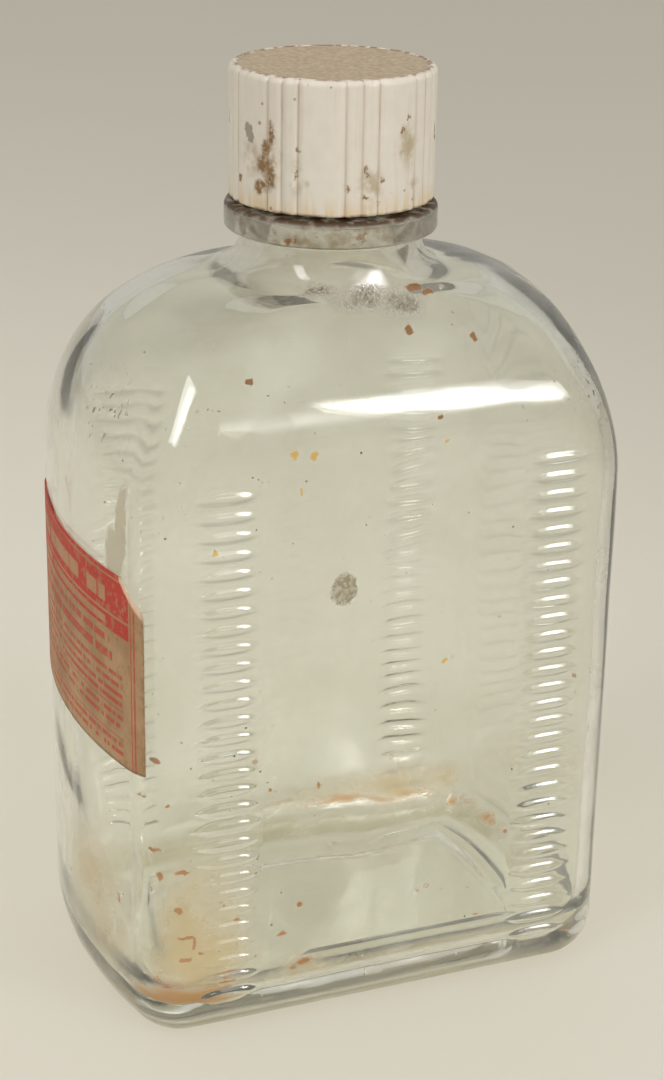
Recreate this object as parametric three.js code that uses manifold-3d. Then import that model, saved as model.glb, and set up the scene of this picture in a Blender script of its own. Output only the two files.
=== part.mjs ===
// A flat one-pint medicine bottle: blown glass body with finger ribs, a moulded screw cap,
// the cap's two-layer liner and a paper label on the left narrow side.
// Units are millimetres, +Z is up, X runs across the broad faces and -Y is the front.
// The origin is the centre of the footprint, on the surface that the bottle stands on.

import * as THREE from "three";
import { mergeVertices } from "three/addons/utils/BufferGeometryUtils.js";
import Module from "manifold-3d";

// ---- Driving dimensions ----------------------------------------------------------------

// Glass body: plan section, measured on the outside at mid height.
const BODY = { halfWidth: 45, halfDepth: 29.7, sideRadius: 91, cornerRadius: 9.3 };
const WALL = 2.4;
const HEEL_RADIUS = 8;
const BASE_THICKNESS = 4.6;
const INNER_HEEL_RADIUS = 9;
const BEARING_WIDTH = 4;
const PUSH_UP = 0.8;

// Shoulder: seen from the front it is a dome, closing in from this height up.
const WIDTH_CLOSES_AT = 88.4;
const WIDTH_POWER = 2.19;

// Between these heights its plan goes this share of the way from the body's flat-faced section to an ellipse.
const ROUNDING = { from: 90, to: 112, share: 0.2 };

// Neck, transfer bead and threaded finish.
const NECK_RADIUS = 14.6;
const BEAD = { radius: 17.05, bottom: 128.4, top: 132.5, round: 0.7 };
const FINISH_RADIUS = 12.55;
const BORE_RADIUS = 9.75;
const LIP = { top: 150.6, round: 0.7 };

// Where the shoulder meets the neck. The dome stops at top, and a fillet of this flare and rise leads
// into the neck. Seen from the side the shoulder is one S-curve from the broad face to the neck, from
// bottom to top of slope.
const OUTSIDE_THROAT = {
  radius: NECK_RADIUS,
  flare: 6,
  rise: 5,
  top: 121.8,
  slope: { bottom: 102.5, top: 127 },
};
const INSIDE_THROAT = {
  radius: BORE_RADIUS,
  flare: 8,
  rise: 10,
  top: 119.4,
  slope: { bottom: 101.5, top: 128 },
};

// Screw thread, right-handed: six turns to the inch, a turn and a half in engagement.
const LEAD = 25.4 / 6;
const ENGAGED_TURNS = 1.5;
const THREAD_CREST = 13.75;
const THREAD_FOOT_HALF = 1.15;
const THREAD_TIP_HALF = 0.45;
const THREAD_BELOW_LIP = 2.4;
const THREAD_BURIED = 0.5;
const THREAD_STEPS_PER_TURN = 32;
const THREAD_RUN_OUT_STEPS = 4;

// Screw cap.
const CAP = { radius: 16.33, bottom: 133.3, top: 154.1, edge: 1.1, bore: 14.15, ceiling: 152.5 };
const CAP_RIM_WIDTH = 1.4;
const CAP_TOP_RECESS = 0.15;
const CAP_THREAD_TIP = 13.05;
const CAP_THREAD_FOOT_HALF = 0.8;
const CAP_THREAD_TIP_HALF = 0.3;
const GROOVE_GROUPS = 8;
const GROOVES_PER_GROUP = 3;
const GROOVE_PITCH = THREE.MathUtils.degToRad(9.4);
const GROOVE_HALF = THREE.MathUtils.degToRad(2);
const GROOVE_DEPTH = 0.45;
const FIRST_GROUP_AT = THREE.MathUtils.degToRad(-95);

// Liner: a pulpboard disc with a thin waxed facing, stacked between the lip and the ceiling.
const LINER_RADIUS = 13.6;
const BACKING = { bottom: 151.35, top: 152.25 };
const FACING = { bottom: 150.8, top: 151.15 };
const DISC_SIDES = 48;

// Finger ribs: two columns on the front and two on the back.
const RIB = { halfLength: 4.8, halfHeight: 1.05, proud: 0.6, buried: 0.35, ridgeShare: 0.62 };
const RIB_COLUMN_X = 27.9;
const RIB_COUNT = 29;
const LOWEST_RIB = 9.1;
const RIB_PITCH = 3.083;

// Label: it wraps the left narrow side and ends half way round the corners.
const LABEL = { bottom: 49.3, top: 81.8, gap: 0.15, thickness: 0.2 };

// Steps of a quarter of the plan section: narrow side, corner, broad face.
const SIDE_STEPS = 4;
const CORNER_STEPS = 4;
const FACE_STEPS = 6;
const ARC_STEPS = 3;
const SHOULDER_STEPS = 9;
const FLARE_STEPS = 4;
const SMALLEST_CORNER = 1;

// ---- Plan sections ---------------------------------------------------------------------

// A section is a broad rectangle with convex narrow sides and rounded corners. A circle is
// the case where all four of its numbers are the radius.
function section(halfWidth, halfDepth, sideRadius, cornerRadius) {
  return { halfWidth, halfDepth, sideRadius, cornerRadius };
}

const bodySection = section(
  BODY.halfWidth,
  BODY.halfDepth,
  BODY.sideRadius,
  BODY.cornerRadius,
);

function circle(radius) {
  return section(radius, radius, radius, radius);
}

// The parallel curve inside (or, with a negative inset, outside) a section.
function inset(s, distance) {
  return section(
    s.halfWidth - distance,
    s.halfDepth - distance,
    s.sideRadius - distance,
    Math.max(s.cornerRadius - distance, SMALLEST_CORNER),
  );
}

// Centres of the side arc and of the corner arc, and the angle where the two meet.
function arcs(s) {
  const sideX = s.halfWidth - s.sideRadius;
  const cornerY = s.halfDepth - s.cornerRadius;
  const reach = (s.sideRadius - s.cornerRadius) ** 2 - cornerY ** 2;
  const cornerX = sideX + Math.sqrt(Math.max(reach, 0));
  return { sideX, cornerX, cornerY, meet: Math.atan2(cornerY, cornerX - sideX) };
}

// Distance from the axis to the section's edge, in the direction of a polar angle.
function radiusAt(s, angle) {
  const c = Math.abs(Math.cos(angle));
  const d = Math.abs(Math.sin(angle));
  const { sideX, cornerX, cornerY, meet } = arcs(s);
  if (s.halfDepth * c <= cornerX * d) return s.halfDepth / d;
  const onSide = c * sideX + Math.sqrt(s.sideRadius ** 2 - (d * sideX) ** 2);
  if (Math.atan2(onSide * d, onSide * c - sideX) <= meet) return onSide;
  const across = c * cornerY - d * cornerX;
  return c * cornerX + d * cornerY + Math.sqrt(s.cornerRadius ** 2 - across ** 2);
}

// Polar angles of one quarter of the body section, from the narrow side to the broad face.
function quarterAngles() {
  const { sideX, cornerX, cornerY, meet } = arcs(bodySection);
  const angles = [];
  for (let i = 0; i < SIDE_STEPS; i++) {
    const t = (meet * i) / SIDE_STEPS;
    const x = sideX + BODY.sideRadius * Math.cos(t);
    angles.push(Math.atan2(BODY.sideRadius * Math.sin(t), x));
  }
  for (let i = 0; i < CORNER_STEPS; i++) {
    const t = meet + ((Math.PI / 2 - meet) * i) / CORNER_STEPS;
    const x = cornerX + BODY.cornerRadius * Math.cos(t);
    angles.push(Math.atan2(cornerY + BODY.cornerRadius * Math.sin(t), x));
  }
  for (let i = 0; i < FACE_STEPS; i++) {
    angles.push(Math.atan2(BODY.halfDepth, cornerX * (1 - i / FACE_STEPS)));
  }
  return angles;
}

// The full turn, counter-clockwise from +X, with the quarters mirrored in turn.
function ringAngles() {
  const quarter = quarterAngles();
  const mirrored = quarter.slice(1).reverse();
  const half = [...quarter, Math.PI / 2, ...mirrored.map((t) => Math.PI - t)];
  return [...half, ...half.map((t) => t + Math.PI)];
}

const GLASS_ANGLES = ringAngles();

// Ring of points round a section, or round a blend of it and the ellipse with the same half-axes.
function ring(s, z, angles = GLASS_ANGLES, roundness = 0) {
  return angles.map((t) => {
    const ellipse = 1 / Math.hypot(Math.cos(t) / s.halfWidth, Math.sin(t) / s.halfDepth);
    const r = THREE.MathUtils.lerp(radiusAt(s, t), ellipse, roundness);
    return new THREE.Vector3(r * Math.cos(t), r * Math.sin(t), z);
  });
}

// ---- Solids ----------------------------------------------------------------------------

// Closed skin over a stack of rings, all with the same number of points, between two poles.
// The rings run so that the solid lies on the left of the profile's outward path.
function loft(firstPole, rings, lastPole) {
  const count = rings[0].length;
  const points = [firstPole, ...rings.flat(), lastPole];
  const last = points.length - 1;
  const at = (row, i) => 1 + row * count + (i % count);
  const index = [];
  for (let i = 0; i < count; i++) {
    index.push(0, at(0, i + 1), at(0, i));
    for (let row = 0; row + 1 < rings.length; row++) {
      index.push(at(row, i), at(row, i + 1), at(row + 1, i + 1));
      index.push(at(row, i), at(row + 1, i + 1), at(row + 1, i));
    }
    index.push(at(rings.length - 1, i), at(rings.length - 1, i + 1), last);
  }
  return new THREE.BufferGeometry().setFromPoints(points).setIndex(index);
}

const wasm = await Module();
wasm.setup();

function toSolid(geometry) {
  const bare = geometry.clone();
  bare.deleteAttribute("normal");
  bare.deleteAttribute("uv");
  const merged = mergeVertices(bare);
  return new wasm.Manifold(
    new wasm.Mesh({
      numProp: 3,
      vertProperties: new Float32Array(merged.attributes.position.array),
      triVerts: new Uint32Array(merged.index.array),
    }),
  );
}

function toGeometry(solid) {
  const { vertProperties, triVerts } = solid.getMesh();
  return new THREE.BufferGeometry()
    .setAttribute("position", new THREE.BufferAttribute(vertProperties, 3))
    .setIndex(new THREE.BufferAttribute(triVerts, 1));
}

// Helical ridge with a trapezoid section. It stands on the wall at footRadius, points to
// tipRadius, climbs counter-clockwise and runs out to nothing at both ends.
function threadRidge({ footRadius, tipRadius, footHalf, tipHalf, startZ, turns, startAngle }) {
  const steps = Math.round(turns * THREAD_STEPS_PER_TURN);
  const outward = Math.sign(tipRadius - footRadius);
  const buried = footRadius - outward * THREAD_BURIED;
  const rings = [];
  for (let i = 0; i <= steps; i++) {
    const angle = startAngle + (turns * 2 * Math.PI * i) / steps;
    const z = startZ + (turns * LEAD * i) / steps;
    const ease = Math.min(1, (Math.min(i, steps - i) + 1) / THREAD_RUN_OUT_STEPS);
    const tip = footRadius + (tipRadius - footRadius) * ease;
    const corner = (r, dz) => new THREE.Vector3(r * Math.cos(angle), r * Math.sin(angle), z + dz);
    const loop = [
      corner(buried, -footHalf),
      corner(tip, -tipHalf),
      corner(tip, tipHalf),
      corner(buried, footHalf),
    ];
    rings.push(outward > 0 ? loop.reverse() : loop);
  }
  return loft(middle(rings[0]), rings, middle(rings[steps]));
}

function middle(points) {
  const sum = points.reduce((total, p) => total.add(p), new THREE.Vector3());
  return sum.divideScalar(points.length);
}

// ---- Glass bottle ----------------------------------------------------------------------

// Half the width at height z of a shoulder that closes to a throat.
function halfWidthAt(body, throat, z) {
  const root = throat.radius + throat.flare;
  if (z < throat.top) {
    const t = Math.max(z - WIDTH_CLOSES_AT, 0) / (throat.top - WIDTH_CLOSES_AT);
    return root + (body.halfWidth - root) * (1 - t ** WIDTH_POWER) ** (1 / WIDTH_POWER);
  }
  const t = Math.max(throat.top + throat.rise - z, 0) / throat.rise;
  return root - throat.flare * Math.sqrt(1 - t * t);
}

// Section at height z of a shoulder that closes from a body section to a round neck.
function shoulderSection(body, throat, z) {
  const halfWidth = halfWidthAt(body, throat, z);
  const sloped = THREE.MathUtils.smoothstep(z, throat.slope.bottom, throat.slope.top);
  const closed = (body.halfWidth - halfWidth) / (body.halfWidth - throat.radius);
  return section(
    halfWidth,
    THREE.MathUtils.lerp(body.halfDepth, throat.radius, sloped),
    THREE.MathUtils.lerp(body.sideRadius, throat.radius, closed),
    THREE.MathUtils.lerp(body.cornerRadius, throat.radius, closed),
  );
}

// Rings from the full body up into the straight neck, closer together where the dome flattens.
function shoulderRings(body, throat) {
  const heights = [];
  for (let i = 0; i < SHOULDER_STEPS; i++) {
    const t = (Math.PI / 2) * (i / SHOULDER_STEPS);
    heights.push(WIDTH_CLOSES_AT + (throat.top - WIDTH_CLOSES_AT) * Math.sin(t));
  }
  for (let i = 0; i <= FLARE_STEPS; i++) {
    const t = (Math.PI / 2) * (i / FLARE_STEPS);
    heights.push(throat.top + throat.rise * (1 - Math.cos(t)));
  }
  return heights.map((z) => {
    const rounded = THREE.MathUtils.smoothstep(z, ROUNDING.from, ROUNDING.to);
    return ring(shoulderSection(body, throat, z), z, GLASS_ANGLES, ROUNDING.share * rounded);
  });
}

// Quarter-round rings between a flat floor and an upright wall.
function heelRings(s, radius, bottom) {
  const rings = [];
  for (let i = 0; i <= ARC_STEPS; i++) {
    const t = (Math.PI / 2) * (i / ARC_STEPS);
    rings.push(ring(inset(s, radius * (1 - Math.sin(t))), bottom + radius * (1 - Math.cos(t))));
  }
  return rings;
}

function turnedRings(profile, angles = GLASS_ANGLES) {
  return profile.map(([radius, z]) => ring(circle(radius), z, angles));
}

function outsideRings() {
  const recessEdge = HEEL_RADIUS + BEARING_WIDTH;
  return [
    ring(inset(bodySection, recessEdge + PUSH_UP), PUSH_UP),
    ring(inset(bodySection, recessEdge), 0),
    ...heelRings(bodySection, HEEL_RADIUS, 0),
    ...shoulderRings(bodySection, OUTSIDE_THROAT),
  ];
}

function finishRings() {
  return turnedRings([
    [NECK_RADIUS, BEAD.bottom],
    [BEAD.radius - BEAD.round, BEAD.bottom],
    [BEAD.radius, BEAD.bottom + BEAD.round],
    [BEAD.radius, BEAD.top - BEAD.round],
    [BEAD.radius - BEAD.round, BEAD.top],
    [FINISH_RADIUS, BEAD.top],
    [FINISH_RADIUS, LIP.top - LIP.round],
    [FINISH_RADIUS - LIP.round, LIP.top],
    [BORE_RADIUS + LIP.round, LIP.top],
    [BORE_RADIUS, LIP.top - LIP.round],
  ]);
}

function insideRings() {
  const innerBody = inset(bodySection, WALL);
  const upward = [
    ...heelRings(innerBody, INNER_HEEL_RADIUS, BASE_THICKNESS),
    ...shoulderRings(innerBody, INSIDE_THROAT),
  ];
  return upward.reverse();
}

function glassShell() {
  const footCentre = new THREE.Vector3(0, 0, PUSH_UP);
  const floorCentre = new THREE.Vector3(0, 0, BASE_THICKNESS);
  const rings = [...outsideRings(), ...finishRings(), ...insideRings()];
  return loft(footCentre, rings, floorCentre);
}

function bottleThread() {
  return threadRidge({
    footRadius: FINISH_RADIUS,
    tipRadius: THREAD_CREST,
    footHalf: THREAD_FOOT_HALF,
    tipHalf: THREAD_TIP_HALF,
    startZ: LIP.top - THREAD_BELOW_LIP - ENGAGED_TURNS * LEAD,
    turns: ENGAGED_TURNS,
    startAngle: 0,
  });
}

// One rib: a long low hip roof, six-sided at its foot, which is sunk into the glass.
function ribGeometry() {
  const { halfLength, halfHeight, proud, buried, ridgeShare } = RIB;
  const shoulder = halfLength * ridgeShare;
  const foot = [
    [halfLength, 0],
    [shoulder, halfHeight],
    [-shoulder, halfHeight],
    [-halfLength, 0],
    [-shoulder, -halfHeight],
    [shoulder, -halfHeight],
  ].map(([x, z]) => new THREE.Vector3(x, buried, z));
  const ridge = [shoulder, -shoulder].map((x) => new THREE.Vector3(x, -proud, 0));
  const floor = [0, 1, 2, 0, 2, 3, 0, 3, 4, 0, 4, 5];
  const roof = [1, 0, 6, 0, 5, 6, 3, 2, 7, 4, 3, 7, 2, 1, 6, 2, 6, 7, 5, 4, 7, 5, 7, 6];
  const index = [...floor, ...roof].reverse();
  return new THREE.BufferGeometry().setFromPoints([...foot, ...ridge]).setIndex(index);
}

function ribs() {
  const placed = [];
  for (const facing of [0, Math.PI]) {
    for (const side of [-1, 1]) {
      for (let i = 0; i < RIB_COUNT; i++) {
        const rib = ribGeometry();
        rib.translate(side * RIB_COLUMN_X, -BODY.halfDepth, LOWEST_RIB + i * RIB_PITCH);
        placed.push(toSolid(rib.rotateZ(facing)));
      }
    }
  }
  return placed;
}

function glassBottle() {
  const pieces = [toSolid(bottleThread()), ...ribs()];
  return toGeometry(pieces.reduce((whole, piece) => whole.add(piece), toSolid(glassShell())));
}

// ---- Screw cap -------------------------------------------------------------------------

// Polar angles round the cap: the two edges and the bottom of every groove, and the panels.
function capAngles() {
  const span = (2 * Math.PI) / GROOVE_GROUPS;
  const outermost = (GROOVE_PITCH * (GROOVES_PER_GROUP - 1)) / 2;
  const panelEdge = outermost + GROOVE_HALF;
  const angles = [];
  for (let group = 0; group < GROOVE_GROUPS; group++) {
    const centre = FIRST_GROUP_AT + group * span;
    for (let i = 0; i < GROOVES_PER_GROUP; i++) {
      const groove = centre - outermost + i * GROOVE_PITCH;
      angles.push([groove - GROOVE_HALF, 0], [groove, 1], [groove + GROOVE_HALF, 0]);
    }
    const plain = span - 2 * panelEdge;
    for (let i = 1; i <= 3; i++) angles.push([centre + panelEdge + (plain * i) / 4, 0]);
  }
  return angles;
}

function capRing(angles, radius, z, grooveDepth = 0) {
  return angles.map(([t, share]) => {
    const r = radius - share * grooveDepth;
    return new THREE.Vector3(r * Math.cos(t), r * Math.sin(t), z);
  });
}

function capShell() {
  const angles = capAngles();
  const rimInner = CAP.radius - CAP_RIM_WIDTH;
  const recessed = CAP.top - CAP_TOP_RECESS;
  const rings = [
    capRing(angles, CAP.bore, CAP.ceiling),
    capRing(angles, CAP.bore, CAP.bottom),
    capRing(angles, CAP.radius, CAP.bottom, GROOVE_DEPTH),
    capRing(angles, CAP.radius, CAP.top - CAP.edge, GROOVE_DEPTH),
    capRing(angles, CAP.radius - CAP.edge / 3, CAP.top - CAP.edge / 3, GROOVE_DEPTH),
    capRing(angles, CAP.radius - CAP.edge, CAP.top),
    capRing(angles, rimInner, CAP.top),
    capRing(angles, rimInner - CAP_TOP_RECESS, recessed),
  ];
  const ceiling = new THREE.Vector3(0, 0, CAP.ceiling);
  return loft(ceiling, rings, new THREE.Vector3(0, 0, recessed));
}

// The cap's thread lies half a lead below the bottle's, between its turns.
function capThread() {
  return threadRidge({
    footRadius: CAP.bore,
    tipRadius: CAP_THREAD_TIP,
    footHalf: CAP_THREAD_FOOT_HALF,
    tipHalf: CAP_THREAD_TIP_HALF,
    startZ: LIP.top - THREAD_BELOW_LIP - (ENGAGED_TURNS + 0.5) * LEAD,
    turns: ENGAGED_TURNS,
    startAngle: 0,
  });
}

function screwCap() {
  return toGeometry(toSolid(capShell()).add(toSolid(capThread())));
}

// ---- Liner and label -------------------------------------------------------------------

function disc({ bottom, top }) {
  const height = top - bottom;
  const geometry = new THREE.CylinderGeometry(LINER_RADIUS, LINER_RADIUS, height, DISC_SIDES);
  return geometry.rotateX(Math.PI / 2).translate(0, 0, bottom + height / 2);
}

// A thin sheet bent round the left narrow side, between the middles of its two corners.
function paperLabel() {
  const stops = SIDE_STEPS + CORNER_STEPS / 2;
  const middleIndex = GLASS_ANGLES.length / 2;
  const angles = GLASS_ANGLES.slice(middleIndex - stops, middleIndex + stops + 1);
  const edge = (distance) => {
    return ring(inset(bodySection, -distance), 0, angles).map((p) => new THREE.Vector2(p.x, p.y));
  };
  const inner = edge(LABEL.gap);
  const outer = edge(LABEL.gap + LABEL.thickness);
  const sheet = new THREE.Shape([...outer, ...inner.reverse()]);
  const depth = LABEL.top - LABEL.bottom;
  const geometry = new THREE.ExtrudeGeometry(sheet, { depth, bevelEnabled: false });
  return geometry.translate(0, 0, LABEL.bottom);
}

// ---- Assembly --------------------------------------------------------------------------

function material(color, roughness, more = {}) {
  return new THREE.MeshStandardMaterial({ color, roughness, metalness: 0, ...more });
}

const glass = { transparent: true, opacity: 0.35 };
const subParts = [
  ["glass_bottle", glassBottle(), material(0xd9dccb, 0.08, glass)],
  ["screw_cap", screwCap(), material(0xd9d0bd, 0.45)],
  ["liner_backing", disc(BACKING), material(0xa68f6c, 0.9)],
  ["liner_facing", disc(FACING), material(0xe2dcc8, 0.35)],
  ["paper_label", paperLabel(), material(0xb98a72, 0.85)],
];

const bottle = new THREE.Group();
for (const [name, geometry, look] of subParts) {
  const mesh = new THREE.Mesh(geometry, look);
  mesh.name = name;
  bottle.add(mesh);
}

export default bottle;
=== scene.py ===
"""Visual model of a flat one-pint medicine bottle: ribbed clear glass, ivory screw cap, liner, side label.

Shapes are worked out in millimetres in the CAD frame (+Z up, -Y the front, label on -X) and turned into
metres when a mesh is made.
"""

import math

import bpy
import numpy as np
from mathutils import Matrix, Vector


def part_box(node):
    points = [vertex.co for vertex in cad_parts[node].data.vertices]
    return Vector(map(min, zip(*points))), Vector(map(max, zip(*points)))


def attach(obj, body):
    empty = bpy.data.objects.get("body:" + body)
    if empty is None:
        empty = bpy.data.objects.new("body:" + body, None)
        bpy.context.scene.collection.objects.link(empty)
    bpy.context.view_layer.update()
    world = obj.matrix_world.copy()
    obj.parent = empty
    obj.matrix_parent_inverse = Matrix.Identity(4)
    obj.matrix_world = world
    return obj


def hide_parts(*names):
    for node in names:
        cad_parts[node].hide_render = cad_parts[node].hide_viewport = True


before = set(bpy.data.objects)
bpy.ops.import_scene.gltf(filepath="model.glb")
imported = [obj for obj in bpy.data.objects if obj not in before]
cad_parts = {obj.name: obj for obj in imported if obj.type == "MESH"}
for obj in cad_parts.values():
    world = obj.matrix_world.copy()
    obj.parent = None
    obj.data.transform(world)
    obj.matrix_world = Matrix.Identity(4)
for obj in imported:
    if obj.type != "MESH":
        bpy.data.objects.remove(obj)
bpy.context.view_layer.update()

MM = 0.001


def box_mm(node):
    low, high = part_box(node)
    return Vector(low) / MM, Vector(high) / MM


_, GLASS_HIGH = box_mm("glass_bottle")
CAP_LOW, CAP_HIGH = box_mm("screw_cap")
LABEL_LOW, LABEL_HIGH = box_mm("paper_label")
BACKING_LOW, BACKING_HIGH = box_mm("liner_backing")
FACING_LOW, FACING_HIGH = box_mm("liner_facing")

# ---- Dimensions, in millimetres ----------------------------------------------------------

RIB_PROUD, SEAM_PROUD, SEAM_HALF_WIDTH = 0.6, 0.1, 0.45
HALF_WIDTH = GLASS_HIGH.x - SEAM_PROUD
HALF_DEPTH = GLASS_HIGH.y - RIB_PROUD
SIDE_RADIUS = 91
CORNER_RADIUS = 9.3
HEEL_RADIUS = 8
WALL = 2.4
BASE_THICKNESS = 4.6
INNER_HEEL_RADIUS = 9
BEARING_WIDTH = 4
PUSH_UP = 0.5
OUTER_SWELL, INNER_SWELL, INNER_RIPPLE = 0.05, 0.2, 0.06

WIDTH_CLOSES_AT, WIDTH_POWER = 88.4, 2.19
ROUNDS_FROM, ROUND_BY, ROUND_SHARE = 90, 112, 0.2
NECK_RADIUS, BORE_RADIUS, FINISH_RADIUS = 14.6, 9.75, 12.55
OUTSIDE_THROAT = dict(radius=NECK_RADIUS, flare=6, rise=5, top=121.8, slope=(102.5, 127))
INSIDE_THROAT = dict(radius=BORE_RADIUS, flare=8, rise=10, top=119.4, slope=(101.5, 128))
BEAD_RADIUS, BEAD_BOTTOM, BEAD_TOP, BEAD_ROUND = 17.05, 128.4, 132.5, 0.9
LIP_TOP, LIP_ROUND = GLASS_HIGH.z, 0.9

LEAD = 25.4 / 6
ENGAGED_TURNS = 1.5
THREAD_CREST, THREAD_HALF = 13.75, 1.15
THREAD_LOW = LIP_TOP - 2.4 - ENGAGED_TURNS * LEAD

RIB_COLUMN_X, RIB_HALF_LENGTH, RIB_HALF_HEIGHT = 27.9, 4.8, 1.05
RIB_SLOPE_LOW, RIB_SLOPE_HIGH, RIB_SLOPE_BACK = 0.78, 0.6, 0.5
RIB_COUNT, LOWEST_RIB, RIB_PITCH = 29, 9.1, 3.083
STRIP_HALF_WIDTH, STRIP_PROUD = 5.5, 0.1

CAP_RADIUS = CAP_HIGH.x
CAP_EDGE, CAP_BORE, CAP_CEILING = 1.1, 14.15, 152.5
CAP_THREAD_TIP, CAP_THREAD_HALF = 13.05, 0.8
CAP_RECESS = 0.15
GROOVE_GROUPS, GROOVES_PER_GROUP = 8, 3
GROOVE_PITCH, GROOVE_HALF = math.radians(9.4), math.radians(3.6)
GROOVE_DEPTH = 0.38
FIRST_GROUP_AT = math.radians(-95)

LABEL_GAP, LABEL_THICKNESS = 0.08, 0.16
LABEL_HALF_LENGTH = 27
TEAR_LENGTH, TEAR_SLOPE = 5.2, 0.95

# ---- Camera, in degrees and millimetres --------------------------------------------------

LENS = 76.7
CAMERA_AZIMUTH, CAMERA_ELEVATION, CAMERA_ROLL = -22.19, 21.88, 1.02
CAMERA_DISTANCE = 387.65
AIM_ACROSS, AIM_HEIGHT = 1.13, 73.94


def place_camera():
    azimuth = math.radians(CAMERA_AZIMUTH)
    elevation = math.radians(CAMERA_ELEVATION)
    roll = math.radians(CAMERA_ROLL)
    level = math.cos(elevation)
    back = Vector((math.sin(azimuth) * level, -math.cos(azimuth) * level, math.sin(elevation)))
    across = Vector((0, 0, 1)).cross(back).normalized()
    upright = back.cross(across)
    right = math.cos(roll) * across + math.sin(roll) * upright
    lift = math.cos(roll) * upright - math.sin(roll) * across
    aim = across * AIM_ACROSS + Vector((0, 0, AIM_HEIGHT))
    data = bpy.data.cameras.new("camera")
    data.lens = LENS
    camera = bpy.data.objects.new("camera", data)
    matrix = Matrix((right, lift, back)).transposed().to_4x4()
    matrix.translation = (aim + back * CAMERA_DISTANCE) * MM
    camera.matrix_world = matrix
    bpy.context.scene.collection.objects.link(camera)
    bpy.context.scene.camera = camera


# ---- Meshes ------------------------------------------------------------------------------


def make_mesh(name, points, faces):
    mesh = bpy.data.meshes.new(name)
    mesh.from_pydata((np.asarray(points) * MM).tolist(), [], faces)
    mesh.validate()
    mesh.update()
    mesh.polygons.foreach_set("use_smooth", [True] * len(mesh.polygons))
    piece = bpy.data.objects.new(name, mesh)
    bpy.context.scene.collection.objects.link(piece)
    return piece


def grid_faces(rows, count):
    """Quads over a stack of closed rings, and the two fans that close its ends."""
    faces = []
    for row in range(rows - 1):
        low, high = row * count, (row + 1) * count
        for i in range(count):
            j = (i + 1) % count
            faces.append((low + i, low + j, high + j, high + i))
    first, last = rows * count, rows * count + 1
    top = (rows - 1) * count
    for i in range(count):
        j = (i + 1) % count
        faces.append((first, j, i))
        faces.append((top + i, top + j, last))
    return faces


def closed_loft(name, rings, first_pole, last_pole):
    rows, count = rings.shape[:2]
    points = np.concatenate([rings.reshape(-1, 3), [first_pole], [last_pole]])
    return make_mesh(name, points, grid_faces(rows, count))


def normals(rings):
    """Outward unit normals of a stack of rings, by differences along and across it."""
    along = np.roll(rings, -1, axis=1) - np.roll(rings, 1, axis=1)
    across = np.gradient(rings, axis=0)
    out = np.cross(along, across)
    return out / np.maximum(np.linalg.norm(out, axis=2, keepdims=True), 1e-9)


def bump(x, power=1.0):
    """1 at zero, falling smoothly to 0 at -1 and 1."""
    return np.cos(np.clip(x, -1, 1) * math.pi / 2) ** (2 * power)


def ramp(x, low, high):
    t = np.clip((x - low) / (high - low), 0, 1)
    return t * t * (3 - 2 * t)


# ---- Plan sections of the glass ----------------------------------------------------------


def inset(section, distance):
    half_width, half_depth, side, corner = section
    return (half_width - distance, half_depth - distance, side - distance, max(corner - distance, 1))


def circle(radius):
    return (radius, radius, radius, radius)


BODY = (HALF_WIDTH, HALF_DEPTH, SIDE_RADIUS, CORNER_RADIUS)


def arc_centres(half_width, half_depth, side, corner):
    side_x = half_width - side
    corner_y = half_depth - corner
    corner_x = side_x + np.sqrt(np.maximum((side - corner) ** 2 - corner_y**2, 0))
    return side_x, corner_x, corner_y, np.arctan2(corner_y, corner_x - side_x)


def edge_radius(sections, angles):
    """Distance from the axis to the edge of each section, at each polar angle."""
    half_width, half_depth, side, corner = (sections[:, k : k + 1] for k in range(4))
    c = np.abs(np.cos(angles))[None]
    s = np.abs(np.sin(angles))[None]
    side_x, corner_x, corner_y, meet = arc_centres(half_width, half_depth, side, corner)
    flat = half_depth / np.maximum(s, 1e-9)
    on_side = c * side_x + np.sqrt(side**2 - (s * side_x) ** 2)
    at = np.arctan2(on_side * s, on_side * c - side_x)
    sideways = c * corner_y - s * corner_x
    on_corner = c * corner_x + s * corner_y + np.sqrt(np.maximum(corner**2 - sideways**2, 0))
    return np.where(half_depth * c <= corner_x * s, flat, np.where(at <= meet, on_side, on_corner))


def glass_angles():
    """Polar angles round the bottle, close together where the ribs are."""
    side_x, corner_x, corner_y, meet = arc_centres(*BODY)
    side = np.linspace(0, meet, 9)[:-1]
    quarter = [math.atan2(SIDE_RADIUS * math.sin(t), side_x + SIDE_RADIUS * math.cos(t)) for t in side]
    for t in np.linspace(meet, math.pi / 2, 9)[:-1]:
        x = corner_x + CORNER_RADIUS * math.cos(t)
        quarter.append(math.atan2(corner_y + CORNER_RADIUS * math.sin(t), x))
    inner_edge = RIB_COLUMN_X - STRIP_HALF_WIDTH - 0.8
    across = [*np.linspace(corner_x, inner_edge, 20)[:-1], *np.linspace(inner_edge, 0, 8)[:-1]]
    quarter += [math.atan2(HALF_DEPTH, x) for x in across]
    half = [*quarter, math.pi / 2, *[math.pi - t for t in quarter[:0:-1]]]
    return np.array([*half, *[t + math.pi for t in half]])


def rings_of(rows, angles):
    """Points of each row, from its section's four numbers and its height; the shoulder rounds off."""
    rows = np.array(rows, float)
    flat = edge_radius(rows[:, :4], angles)
    ellipse = 1 / np.hypot(np.cos(angles) / rows[:, 0:1], np.sin(angles) / rows[:, 1:2])
    radius = flat + (ellipse - flat) * ROUND_SHARE * ramp(rows[:, 4:5], ROUNDS_FROM, ROUND_BY)
    z = np.repeat(rows[:, 4:5], len(angles), axis=1)
    return np.stack([radius * np.cos(angles), radius * np.sin(angles), z], axis=2)


# ---- Glass bottle ------------------------------------------------------------------------


def smoothstep(x, low, high):
    t = min(max((x - low) / (high - low), 0), 1)
    return t * t * (3 - 2 * t)


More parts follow.
